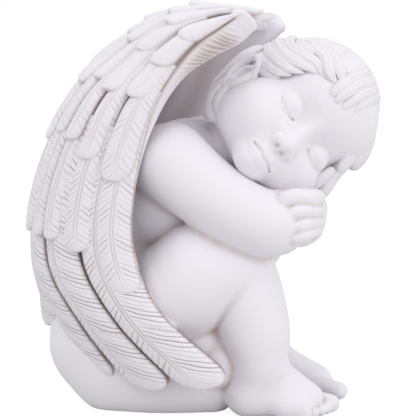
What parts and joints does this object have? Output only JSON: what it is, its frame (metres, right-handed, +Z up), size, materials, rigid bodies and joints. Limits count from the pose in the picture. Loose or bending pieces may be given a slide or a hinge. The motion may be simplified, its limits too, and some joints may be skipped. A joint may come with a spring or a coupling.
{
  "type": "sleeping angel statue",
  "caption": "Seated winged child in cast resin, asleep with its head laid on folded arms, its wings wrapped round its back, on a flat underside.",
  "frame": {"origin": "middle of the figure's length and width, on the flat underside it stands on", "axes": "+X the way the toes point, +Z up, -Y the side the face is turned to"},
  "size_m": [0.2523, 0.1753, 0.2857],
  "materials": {
    "resin": "matte white cast resin"
  },
  "bodies": {
    "root": {"sleeping_angel": "resin"}
  },
  "joints": []
}
